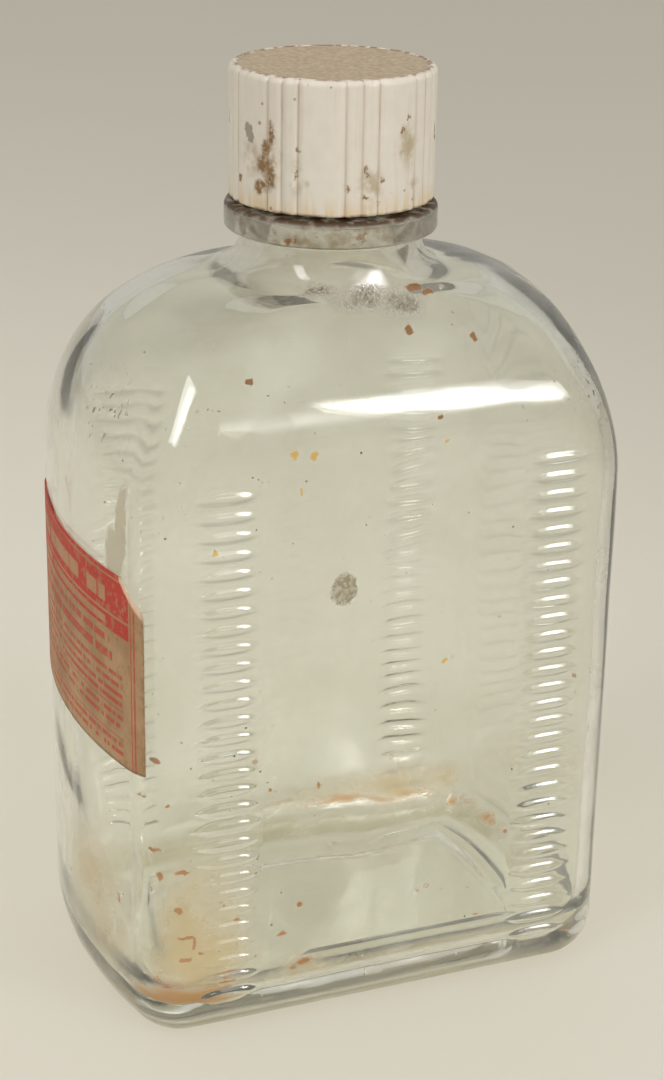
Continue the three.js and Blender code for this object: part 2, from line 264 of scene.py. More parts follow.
def half_width_at(body, throat, z):
    root = throat["radius"] + throat["flare"]
    if z < throat["top"]:
        t = max(z - WIDTH_CLOSES_AT, 0) / (throat["top"] - WIDTH_CLOSES_AT)
        return root + (body[0] - root) * (1 - t**WIDTH_POWER) ** (1 / WIDTH_POWER)
    t = max(throat["top"] + throat["rise"] - z, 0) / throat["rise"]
    return root - throat["flare"] * math.sqrt(1 - t * t)


def shoulder_section(body, throat, z):
    """Section of the shoulder: a dome seen from the front, an S-curve seen from the side."""
    radius = throat["radius"]
    half_width = half_width_at(body, throat, z)
    half_depth = body[1] + (radius - body[1]) * smoothstep(z, *throat["slope"])
    closed = (body[0] - half_width) / (body[0] - radius)
    side, corner = (size + (radius - size) * closed for size in body[2:])
    return (half_width, half_depth, side, corner)


def arc_rows(section, radius, bottom, steps):
    """Quarter-round from a flat floor up into an upright wall."""
    rows = []
    for t in np.linspace(0, math.pi / 2, steps):
        rows.append((*inset(section, radius * (1 - math.sin(t))), bottom + radius * (1 - math.cos(t))))
    return rows


def rib_heights():
    """Heights that follow the shape of every rib."""
    heights = []
    for rib in range(RIB_COUNT):
        for offset in (-1.1, -0.85, -0.6, -0.35, -0.12, 0, 0.12, 0.35, 0.6, 0.85, 1.1):
            heights.append(LOWEST_RIB + rib * RIB_PITCH + offset)
    return heights


def wall_rows(body, throat, heights, shoulder_steps):
    """The upright wall at the given heights, then the shoulder and the fillet into the neck."""
    top, rise = throat["top"], throat["rise"]
    heights = list(heights)
    start = math.asin((heights[-1] + 0.7 - WIDTH_CLOSES_AT) / (top - WIDTH_CLOSES_AT))
    for t in np.linspace(start, math.pi / 2, shoulder_steps):
        heights.append(WIDTH_CLOSES_AT + (top - WIDTH_CLOSES_AT) * math.sin(t))
    heights += [top + rise * (1 - math.cos(t)) for t in np.linspace(0, math.pi / 2, 10)[1:]]
    return [(*shoulder_section(body, throat, z), z) for z in heights]


def rounded(corner, radius, first, last, steps=5):
    """Points of a fillet in a turned profile, about a centre given as (radius, height)."""
    turned = []
    for t in np.radians(np.linspace(first, last, steps)):
        turned.append((corner[0] + radius * math.cos(t), corner[1] + radius * math.sin(t)))
    return turned


def finish_profile():
    r = BEAD_ROUND
    bead = [(NECK_RADIUS, BEAD_BOTTOM - 1), (NECK_RADIUS, BEAD_BOTTOM - 0.5)]
    bead += rounded((NECK_RADIUS + 0.5, BEAD_BOTTOM - 0.5), 0.5, 180, 90, 4)
    bead += rounded((BEAD_RADIUS - 0.5, BEAD_BOTTOM + 0.5), 0.5, -90, 0, 5)
    bead += rounded((BEAD_RADIUS - r, BEAD_TOP - r), r, 0, 90, 7)
    bead += [(FINISH_RADIUS + 1.6, BEAD_TOP + 0.02)]
    bead += rounded((FINISH_RADIUS + 0.5, BEAD_TOP + 0.52), 0.5, 270, 180, 4)
    wall = [(FINISH_RADIUS, z) for z in np.arange(BEAD_TOP + 1, LIP_TOP - LIP_ROUND, 0.28)]
    lip = rounded((FINISH_RADIUS - LIP_ROUND, LIP_TOP - LIP_ROUND), LIP_ROUND, 0, 90, 6)
    lip += rounded((BORE_RADIUS + LIP_ROUND, LIP_TOP - LIP_ROUND), LIP_ROUND, 90, 180, 6)
    bore = [(BORE_RADIUS, z) for z in np.linspace(LIP_TOP - 2, BEAD_BOTTOM + 2, 10)]
    return bead + wall + lip + bore


def base_rows():
    edge = HEEL_RADIUS + BEARING_WIDTH
    rows = []
    for share in (0.15, 0.3, 0.45, 0.6, 0.75, 0.9):
        shrink = edge + (HALF_DEPTH - edge) * (1 - share)
        section = ((HALF_WIDTH - edge) * share, HALF_DEPTH - shrink, 60 * share + 20, 3 * share + 0.5)
        rows.append((*section, PUSH_UP * (1.1 - 0.3 * share)))
    for inward, z in ((1.2, 0.72), (0.8, 0.5), (0.4, 0.2), (0.15, 0.04), (0, 0), (-1.5, 0)):
        rows.append((*inset(BODY, edge + inward), z * PUSH_UP))
    return rows


def glass_rows():
    outside = base_rows() + arc_rows(BODY, HEEL_RADIUS, 0, 12)[:-1]
    outside += wall_rows(BODY, OUTSIDE_THROAT, rib_heights(), 34)
    finish = [(*circle(r), z) for r, z in finish_profile()]
    inner = inset(BODY, WALL)
    inside = [(*inset(inner, d), BASE_THICKNESS) for d in (20, 16, 12, 9)]
    inside += arc_rows(inner, INNER_HEEL_RADIUS, BASE_THICKNESS, 10)
    heights = np.arange(BASE_THICKNESS + INNER_HEEL_RADIUS + 1.5, 98, 1.7)
    inside += wall_rows(inner, INSIDE_THROAT, heights, 30)
    return outside, finish, inside[::-1]


def helix_height(points, low, turns, half):
    """Height share, 0 to 1, of a helical ridge that climbs anticlockwise, at each point."""
    turn = np.arctan2(points[..., 1], points[..., 0]) / (2 * math.pi) % 1
    level = (points[..., 2] - low) / LEAD
    height = np.zeros(turn.shape)
    for whole in range(math.ceil(turns) + 1):
        at = turn + whole
        ends = ramp(at, 0, 0.12) * (1 - ramp(at, turns - 0.12, turns))
        height = np.maximum(height, ends * bump((level - at) * LEAD / (half * 1.25), 0.6))
    return height


def rib_height(points):
    """Lens-shaped ribs with flat flanks and a rounded crest, on a strip that stands slightly proud.

    The front ribs are a little steeper lower down, and the back ribs are softer.
    """
    x = np.abs(points[..., 0]) - RIB_COLUMN_X
    z = points[..., 2]
    which = np.clip(np.round((z - LOWEST_RIB) / RIB_PITCH), 0, RIB_COUNT - 1)
    offset = z - LOWEST_RIB - which * RIB_PITCH
    half_height = RIB_HALF_HEIGHT * np.clip(1 - np.abs(x / RIB_HALF_LENGTH) ** 2.6, 0, 1) ** 0.6
    front = points[..., 1] < 0
    crest = np.where(front, 0.16, 0.4)
    front_slope = RIB_SLOPE_LOW + (RIB_SLOPE_HIGH - RIB_SLOPE_LOW) * ramp(z, 5, 100)
    slope = np.where(front, front_slope, RIB_SLOPE_BACK)
    flank = slope * (half_height + crest - np.sqrt(offset**2 + crest**2) - 0.06)
    ribs = (flank + np.sqrt(flank**2 + 0.06**2)) / 2 * (half_height > 0)
    across = 1 - ramp(np.abs(x), STRIP_HALF_WIDTH - 0.6, STRIP_HALF_WIDTH + 0.4)
    last = LOWEST_RIB + (RIB_COUNT - 1) * RIB_PITCH
    upright = ramp(z, LOWEST_RIB - 3.5, LOWEST_RIB - 1.5) * (1 - ramp(z, last + 1.5, last + 4))
    return np.minimum(ribs + STRIP_PROUD * across * upright, RIB_PROUD)


def ripple(points, size, phase):
    """Slow uneven swell of blown glass, about -1 to 1."""
    x, y, z = (points[..., k] / size for k in range(3))
    swell = np.sin(x + 1.7 * np.sin(0.6 * z + phase)) * np.cos(0.8 * z - 0.9 * y + 2 * phase)
    swell += 0.6 * np.sin(1.9 * z + 0.7 * x + 1.3 * np.sin(1.1 * y + phase))
    return (swell + 0.4 * np.cos(2.3 * x - 1.3 * z + 3.1 * phase)) / 2


def glass_bottle():
    angles = glass_angles()
    outside, finish, inside = glass_rows()
    rings = rings_of(outside + finish + inside, angles)
    out = normals(rings)
    first, second = len(outside), len(outside) + len(finish)
    body, neck, inner = rings[:first], rings[first:second], rings[second:]
    z = body[..., 2]
    upright = ramp(z, 6, 10)
    face = np.abs(body[..., 1]) > HALF_DEPTH - 0.6
    push = rib_height(body) * face + OUTER_SWELL * upright * ripple(body, 7, 0.4)
    seam = bump(body[..., 1] / SEAM_HALF_WIDTH) * (np.abs(body[..., 0]) > NECK_RADIUS) * ramp(z, 2, 6)
    push += SEAM_PROUD * seam
    rings[:first] = body + out[:first] * push[..., None]
    lift = helix_height(neck, THREAD_LOW, ENGAGED_TURNS, THREAD_HALF) * (THREAD_CREST - FINISH_RADIUS)
    lift *= (neck[..., 2] > BEAD_TOP + 0.9) & (np.hypot(neck[..., 0], neck[..., 1]) > FINISH_RADIUS - 0.1)
    rings[first:second] = neck + out[first:second] * lift[..., None]
    settle = ramp(LIP_TOP - inner[..., 2], 24, 34)
    waves = INNER_SWELL * ripple(inner, 11, 1.9) + INNER_RIPPLE * ripple(inner, 4, 0.7)
    waves *= 1 + 0.7 * ramp(inner[..., 2], 92, 108)
    rings[second:] = inner + out[second:] * (settle * waves)[..., None]
    piece = closed_loft("bottle_glass", rings, (0, 0, PUSH_UP * 1.1), (0, 0, BASE_THICKNESS + 0.3))
    mark = piece.data.attributes.new("inside", "FLOAT", "POINT")
    shares = np.zeros(len(piece.data.vertices))
    shares[second * len(angles) :] = 1
    shares[-2] = 0
    mark.data.foreach_set("value", shares)
    return piece


# ---- Screw cap ---------------------------------------------------------------------------


def cap_angles():
    """Polar angles round the cap and, for each, how deep in a groove it lies."""
    span = 2 * math.pi / GROOVE_GROUPS
    reach = GROOVE_PITCH * (GROOVES_PER_GROUP - 1) / 2
    angles, depths = [], []
    for group in range(GROOVE_GROUPS):
        centre = FIRST_GROUP_AT + group * span
        for groove in range(GROOVES_PER_GROUP):
            at = centre - reach + groove * GROOVE_PITCH
            for t in (-1, -0.75, -0.5, -0.3, -0.15, -0.05, 0.05, 0.15, 0.3, 0.5, 0.75, 1):
                angles.append(at + t * GROOVE_HALF)
                depths.append((1 - abs(t)) ** 2.4)
            if groove + 1 < GROOVES_PER_GROUP:
                for t in (0.33, 0.67):
                    angles.append(at + GROOVE_HALF + t * (GROOVE_PITCH - 2 * GROOVE_HALF))
                    depths.append(0.0)
        plain = span - 2 * (reach + GROOVE_HALF)
        for t in np.linspace(0, 1, 9)[1:-1]:
            angles.append(centre + reach + GROOVE_HALF + t * plain)
            depths.append(0.0)
    return np.array(angles), np.array(depths)


def cap_profile():
    """Turned profile as (radius, height, share of the groove depth)."""
    disc = CAP_RADIUS - CAP_EDGE
    profile = [(r, CAP_CEILING, 0) for r in np.linspace(1, CAP_BORE - 0.5, 8)]
    profile += [(r, z, 0) for r, z in rounded((CAP_BORE - 0.5, CAP_CEILING - 0.5), 0.5, 90, 0, 4)]
    profile += [(CAP_BORE, z, 0) for z in np.arange(CAP_CEILING - 1, CAP_LOW.z + 0.6, -0.3)]
    profile += [(CAP_BORE + 0.3, CAP_LOW.z + 0.05, 0), (CAP_BORE + 0.6, CAP_LOW.z, 0)]
    profile += [(CAP_RADIUS - 0.9, CAP_LOW.z, 0.6)]
    foot = rounded((CAP_RADIUS - 0.35, CAP_LOW.z + 0.35), 0.35, -90, 0, 4)
    profile += [(r, z, 1) for r, z in foot]
    profile += [(CAP_RADIUS, z, 1) for z in np.linspace(CAP_LOW.z + 1, CAP_HIGH.z - CAP_EDGE - 0.4, 14)]
    edge = rounded((disc, CAP_HIGH.z - CAP_EDGE), CAP_EDGE, 0, 90, 8)
    profile += [(r, z, 1 - 0.5 * k / 7) for k, (r, z) in enumerate(edge)]
    profile += [(disc - 0.12, CAP_HIGH.z - CAP_RECESS * 0.8, 0.2), (disc - 0.25, CAP_HIGH.z - CAP_RECESS, 0)]
    profile += [(r, CAP_HIGH.z - CAP_RECESS, 0) for r in np.linspace(disc - 0.7, 1, 14)]
    return profile


def screw_cap():
    angles, depths = cap_angles()
    rows = np.array(cap_profile())
    radius = rows[:, 0:1] - rows[:, 2:3] * depths[None] * GROOVE_DEPTH
    z = np.repeat(rows[:, 1:2], len(angles), axis=1)
    rings = np.stack([radius * np.cos(angles), radius * np.sin(angles), z], axis=2)
    bore = (np.abs(radius - CAP_BORE) < 0.01) & (z > CAP_LOW.z + 1)
    low = THREAD_LOW - LEAD / 2
    ridge = helix_height(rings, low, ENGAGED_TURNS, CAP_THREAD_HALF) * bore
    scale = 1 - ridge * (CAP_BORE - CAP_THREAD_TIP) / CAP_BORE
    rings[..., :2] *= scale[..., None]
    piece = closed_loft("cap_moulding", rings, (0, 0, CAP_CEILING), (0, 0, CAP_HIGH.z - CAP_RECESS))
    mark = piece.data.attributes.new("groove", "FLOAT", "POINT")
    shares = np.append((rows[:, 2:3] * depths[None]).ravel(), (0, 0))
    mark.data.foreach_set("value", shares)
    return piece


# ---- Liner -------------------------------------------------------------------------------


def disc(name, low, high, edge, dent=0.0):
    """Round disc with softened edges, pressed in along the ring where the lip meets it."""
    radius = high.x
    lip = (FINISH_RADIUS + BORE_RADIUS) / 2
    half_lip = (FINISH_RADIUS - BORE_RADIUS) / 2
    profile = []
    for r in np.linspace(1, radius - edge, 24):
        profile.append((r, low.z + dent * float(bump((r - lip) / half_lip))))
    profile += rounded((radius - edge, low.z + edge), edge, -90, 0, 4)
    profile += rounded((radius - edge, high.z - edge), edge, 0, 90, 4)
    profile += [(r, high.z) for r in np.linspace(radius - edge - 1, 1, 6)]
    angles = np.linspace(0, 2 * math.pi, 96, endpoint=False)
    rings = [[(r * math.cos(t), r * math.sin(t), z) for t in angles] for r, z in profile]
    return closed_loft(name, np.array(rings), (0, 0, low.z), (0, 0, high.z))


# ---- Label -------------------------------------------------------------------------------


def label_path(distance, stops):
    """Points round the left narrow side, by signed length from its middle, positive to the front."""
    side_x, corner_x, corner_y, meet = arc_centres(*BODY)
    side_length = SIDE_RADIUS * meet
    points = []
    for s in stops:
        if abs(s) <= side_length:
            t = s / SIDE_RADIUS
            x = side_x + (SIDE_RADIUS + distance) * math.cos(t)
            y = (SIDE_RADIUS + distance) * math.sin(t)
        else:
            t = meet + (abs(s) - side_length) / CORNER_RADIUS
            x = corner_x + (CORNER_RADIUS + distance) * math.cos(t)
            y = math.copysign(corner_y + (CORNER_RADIUS + distance) * math.sin(t), s)
        points.append((-x, -y))
    return points


def torn_top(s):
    """Height of the label's top edge: level, but torn away at the front corner."""
    tear = max(0.0, s - (LABEL_HALF_LENGTH - TEAR_LENGTH))
    rough = 0.25 * math.sin(7.3 * s) + 0.15 * math.sin(17.1 * s)
    return LABEL_HIGH.z - 0.2 - tear * TEAR_SLOPE - (rough if tear > 0.4 else 0.08 * rough)


def paper_label():
    stops = np.linspace(-LABEL_HALF_LENGTH, LABEL_HALF_LENGTH, 109)
    levels = np.linspace(0, 1, 41)
    points, uvs = [], []
    for distance in (LABEL_GAP, LABEL_GAP + LABEL_THICKNESS):
        path = label_path(distance, stops)
        for share in levels:
            for s, (x, y) in zip(stops, path):
                top = torn_top(s)
                points.append((x, y, LABEL_LOW.z + share * (top - LABEL_LOW.z)))
                uvs.append((s, points[-1][2] - LABEL_LOW.z))
    across, layer = len(stops), len(stops) * len(levels)
    faces = []
    for row in range(len(levels) - 1):
        for i in range(across - 1):
            a = row * across + i
            b, c, d = a + 1, a + across + 1, a + across
            faces.append((a, b, c, d))
            faces.append((layer + a, layer + d, layer + c, layer + b))
    top = (len(levels) - 1) * across
    for i in range(across - 1):
        faces.append((i, layer + i, layer + i + 1, i + 1))
        faces.append((top + i, top + i + 1, layer + top + i + 1, layer + top + i))
    for row in range(len(levels) - 1):
        a, b = row * across, (row + 1) * across
        faces.append((a, b, layer + b, layer + a))
        a, b = a + across - 1, b + across - 1
        faces.append((a, layer + a, layer + b, b))
    piece = make_mesh("label_sheet", points, faces)
    spread = piece.data.uv_layers.new(name="millimetres")
    corner_uvs = [uvs[loop.vertex_index] for loop in piece.data.loops]
    spread.data.foreach_set("uv", np.array(corner_uvs, float).ravel())
    return piece


# ---- Material helpers --------------------------------------------------------------------


class Nodes:
    """Short names for building one material's node tree."""

    def __init__(self, name):
        self.material = bpy.data.materials.new(name)
        self.material.use_nodes = True
        self.tree = self.material.node_tree
        self.tree.nodes.clear()
        self.output = self.tree.nodes.new("ShaderNodeOutputMaterial")
        self.shader = self.tree.nodes.new("ShaderNodeBsdfPrincipled")
        self.link(self.shader.outputs["BSDF"], self.output.inputs["Surface"])

    def link(self, source, target):
        self.tree.links.new(source, target)

    def put(self, value, target):
        if isinstance(value, bpy.types.NodeSocket):
            self.link(value, target)
        else:
            target.default_value = value

    def place(self):
        return self.tree.nodes.new("ShaderNodeTexCoord").outputs["Object"]

    def separate(self, vector):
        node = self.tree.nodes.new("ShaderNodeSeparateXYZ")
        self.put(vector, node.inputs[0])
        return node.outputs

    def scaled(self, vector, scale):
        node = self.tree.nodes.new("ShaderNodeMapping")
        self.put(vector, node.inputs["Vector"])
        node.inputs["Scale"].default_value = scale
        return node.outputs[0]

    def noise(self, vector, scale, detail=4.0, roughness=0.55, distortion=0.0):
        node = self.tree.nodes.new("ShaderNodeTexNoise")
        self.put(vector, node.inputs["Vector"])
        node.inputs["Scale"].default_value = scale
        node.inputs["Detail"].default_value = detail
        node.inputs["Roughness"].default_value = roughness
        node.inputs["Distortion"].default_value = distortion
        return node.outputs[0]

    def cells(self, vector, scale):
        node = self.tree.nodes.new("ShaderNodeTexVoronoi")
        self.put(vector, node.inputs["Vector"])
        node.inputs["Scale"].default_value = scale
        return node.outputs["Distance"]

    def ease(self, value, low, high, to_low=0.0, to_high=1.0):
        node = self.tree.nodes.new("ShaderNodeMapRange")
        node.interpolation_type = "SMOOTHSTEP"
        self.put(value, node.inputs["Value"])
        node.inputs["From Min"].default_value = low
        node.inputs["From Max"].default_value = high
        node.inputs["To Min"].default_value = to_low
        node.inputs["To Max"].default_value = to_high
        return node.outputs["Result"]

    def math(self, operation, a, b=0.0):
        node = self.tree.nodes.new("ShaderNodeMath")
        node.operation = operation
        self.put(a, node.inputs[0])
        self.put(b, node.inputs[1])
        return node.outputs[0]

    def both(self, *values):
        result = values[0]
        for value in values[1:]:
            result = self.math("MULTIPLY", result, value)
        return result

    def most(self, *values):
        result = values[0]
        for value in values[1:]:
            result = self.math("MAXIMUM", result, value)
        return result

    def mix(self, factor, a, b):
        node = self.tree.nodes.new("ShaderNodeMix")
        node.data_type = "RGBA"
        self.put(factor, node.inputs["Factor"])
        self.put(a, node.inputs["A"])
        self.put(b, node.inputs["B"])
        return node.outputs["Result"]

    def blob(self, vector, centre, size):
        """Distance from a centre in units of size, so 1 is on an ellipsoid."""
        shift = self.tree.nodes.new("ShaderNodeVectorMath")
        shift.operation = "SUBTRACT"
        self.put(vector, shift.inputs[0])
        shift.inputs[1].default_value = [c * MM for c in centre]
        shape = self.tree.nodes.new("ShaderNodeVectorMath")
        shape.operation = "DIVIDE"
        self.link(shift.outputs[0], shape.inputs[0])
        shape.inputs[1].default_value = [c * MM for c in size]
        length = self.tree.nodes.new("ShaderNodeVectorMath")
        length.operation = "LENGTH"
        self.link(shape.outputs[0], length.inputs[0])
        return length.outputs["Value"]

    def ragged(self, vector, scale, amount):
        """The place shifted by noise, so that what is drawn on it gets uneven edges."""
        noise = self.tree.nodes.new("ShaderNodeTexNoise")
        self.put(vector, noise.inputs["Vector"])
        noise.inputs["Scale"].default_value = scale
        noise.inputs["Detail"].default_value = 5
        centred = self.tree.nodes.new("ShaderNodeVectorMath")
        centred.operation = "SUBTRACT"
        self.link(noise.outputs["Color"], centred.inputs[0])
        centred.inputs[1].default_value = (0.5, 0.5, 0.5)
        shifted = self.tree.nodes.new("ShaderNodeVectorMath")
        shifted.operation = "MULTIPLY_ADD"
        self.link(centred.outputs[0], shifted.inputs[0])
        shifted.inputs[1].default_value = (amount * MM,) * 3
        self.put(vector, shifted.inputs[2])
        return shifted.outputs[0]

    def patches(self, vector, spots, core=0.6):
        """1 inside any spot, given as a centre and a half-size in millimetres, falling to 0 at its edge."""
        return self.most(*[self.ease(self.blob(vector, c, size), 1.0, core) for c, size in spots])

    def attribute(self, name):
        node = self.tree.nodes.new("ShaderNodeAttribute")
        node.attribute_name = name
        return node.outputs["Fac"]

    def round_distance(self, x, y):
        squares = self.math("ADD", self.math("MULTIPLY", x, x), self.math("MULTIPLY", y, y))
        return self.math("SQRT", squares)

    def bump(self, height, strength, distance):
        node = self.tree.nodes.new("ShaderNodeBump")
        node.inputs["Strength"].default_value = strength
        node.inputs["Distance"].default_value = distance
        self.put(height, node.inputs["Height"])
        self.link(node.outputs[0], self.shader.inputs["Normal"])

    def let_lamps_through(self, tint):
        """Lets lamplight straight through, so that what is under and inside the glass isn't left dark."""
        clear = self.tree.nodes.new("ShaderNodeBsdfTransparent")
        clear.inputs["Color"].default_value = tint
        path = self.tree.nodes.new("ShaderNodeLightPath")
        choose = self.tree.nodes.new("ShaderNodeMixShader")
        lit = self.most(path.outputs["Is Shadow Ray"], path.outputs["Is Diffuse Ray"])
        self.link(lit, choose.inputs[0])
        self.link(self.shader.outputs["BSDF"], choose.inputs[1])
        self.link(clear.outputs["BSDF"], choose.inputs[2])
        self.link(choose.outputs[0], self.output.inputs["Surface"])

    def set(self, **values):
        for name, value in values.items():
            self.put(value, self.shader.inputs[name.replace("_", " ")])


def colour(red, green, blue):
    """Linear colour from 0 to 255 screen values, none of them near black."""
    return (*[((v / 255 + 0.055) / 1.055) ** 2.4 for v in (red, green, blue)], 1.0)


# ---- Materials ---------------------------------------------------------------------------


CLEAR_TINT, LAMPLIGHT_TINT = (0.93, 0.936, 0.885, 1), (0.93, 0.93, 0.9, 1)
SHOULDER_DIRT = [
    ((-1, -17, 121), (7, 4, 3)),
    ((5, -18, 119.5), (5, 4, 3.2)),
    ((-8, -15.5, 122), (5, 3, 1.6)),
]
RUST_FLAKES = [
    ((7.6, -16.6, 121.6), (1.8, 1.5, 0.7)),
    ((9.6, -17, 120.8), (1.2, 1.5, 0.5)),
    ((4.9, -20.9, 116.2), (0.8, 1.2, 1.1)),
    ((15.4, -22.4, 114.5), (0.5, 1.2, 0.9)),
    ((-22.6, -24.8, 111.8), (0.8, 1.5, 0.6)),
    ((-31.4, -27, 108.5), (0.9, 1.5, 0.8)),
    ((-33, -27.9, 106.5), (0.7, 1.5, 0.6)),
    ((7, -29, 104.6), (0.6, 1.5, 0.5)),
]
YELLOW_FLAKES = [
    ((-17.3, -29.7, 101.2), (0.9, 1, 1)),
    ((-13.9, -29.7, 100.8), (0.6, 1, 1)),
    ((8, -29.7, 100.6), (0.4, 1, 0.4)),
    ((-16, -29.7, 95), (0.3, 1, 0.8)),
    ((-30, -29.7, 87), (0.5, 1, 0.5)),
    ((9, -29.7, 63), (0.5, 1, 0.5)),
]
LABEL_GLUE = [((-43.6, -19.5, 84), (6, 3.2, 6)), ((-42.4, -21.6, 90), (6, 1.8, 8))]
SPECKLED_SHOULDERS = [((36, -24, 103), (9, 12, 13)), ((-40, -10, 104), (6, 12, 10))]
DRIED_SPOT = ((-8.7, -30, 78), (2.4, 2, 2.9))
RESIDUE_INSIDE = [
    ((-37, -25, 6), (16, 10, 6)),
    ((-41.5, -26, 20), (2.6, 4, 20)),
    ((-30, -27, 7), (10, 5, 3)),
]
RESIDUE_THIN = [
    ((-43, -9, 17), (8, 22, 23)),
    ((-32, -27, 18), (14, 6, 25)),
    ((24, 27, 11), (28, 6, 5)),
    ((-14, -27, 9), (9, 4, 5)),
]
TIDE_LINE = [
    ((10, 25.5, 9.5), (17, 4, 1.5)),
    ((25, 25.5, 9.2), (13, 4, 1.7)),
    ((37, 22, 8.4), (4.5, 7, 1.8)),
    ((40, 12, 7.4), (3, 9, 1.6)),
]
RESIDUE_MARKS = [
    ((-38.1, -26, 51.8), (0.8, 3, 0.6)),
    ((-39.6, -25, 44.8), (0.6, 3, 0.5)),
    ((-36.5, -27, 43.8), (0.4, 2, 0.4)),
    ((-38.3, -26, 35.8), (0.8, 3, 0.6)),
    ((-34.7, -27.3, 32), (1.4, 2, 0.4)),
    ((-37.6, -26.5, 31), (0.5, 2, 1.3)),
    ((-38.6, -26, 28.3), (0.45, 2, 1.8)),
    ((-35.2, -27.3, 24.9), (0.8, 2, 0.8)),
    ((-34.2, -27.3, 19.8), (1.6, 2, 0.4)),
    ((-33, -27.3, 18.6), (0.4, 2, 1.4)),
    ((-31.8, -27.3, 16.9), (0.7, 2, 0.5)),
    ((-34.3, -27.3, 15.7), (1.1, 2, 0.5)),
    ((-38, -26.5, 11.6), (0.5, 2, 1.6)),
    ((-37, -26.8, 10.3), (1.2, 2, 0.4)),
    ((-14, -27.3, 11.2), (1.6, 2, 0.9)),
    ((-15.8, -27.3, 10), (1, 2, 0.5)),
    ((-18, -27.3, 17.3), (0.9, 2, 0.4)),
    ((-28, -27.3, 11.5), (3.4, 2, 0.5)),
    ((-27, -27.3, 8.6), (2.4, 2, 0.5)),
    ((-20.3, -27.3, 44.3), (0.35, 2, 0.35)),
    ((-12, -27.3, 43.5), (0.3, 2, 0.9)),
    ((-43, -17, 23), (3, 1.3, 1.7)),
]


